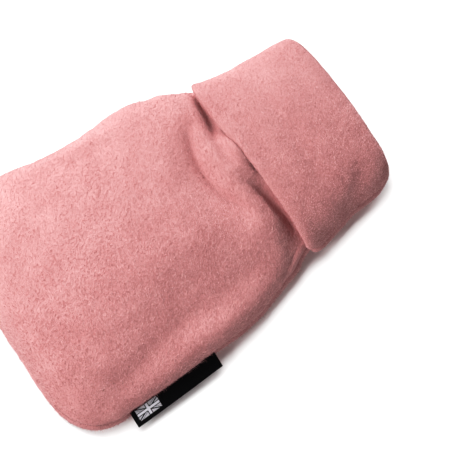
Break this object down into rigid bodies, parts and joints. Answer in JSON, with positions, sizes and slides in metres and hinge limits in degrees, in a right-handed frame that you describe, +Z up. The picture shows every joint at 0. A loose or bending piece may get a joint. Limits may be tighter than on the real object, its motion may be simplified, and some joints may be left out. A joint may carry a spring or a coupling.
{
  "type": "hot water bottle cover",
  "caption": "Hollow fleece cover for a hot water bottle, lying on its back: plump body, turned-down polo neck with an open mouth, and a woven label in the side seam.",
  "frame": {"origin": "on the flat underside of the back panel, where the cover rests on its back", "axes": "+Y from the base to the neck along the cover's length, +Z up out of the front, +X to the side seam that holds the label"},
  "size_m": [0.2299, 0.3296, 0.0474],
  "materials": {
    "fleece": "matte dusty pink fleece with a short uneven nap, finer on the turned-down collar",
    "woven_ribbon": "smooth black woven ribbon with a small grey-white woven flag"
  },
  "bodies": {
    "root": {"front_panel": "fleece", "back_panel": "fleece", "side_label": "woven_ribbon"}
  },
  "joints": []
}
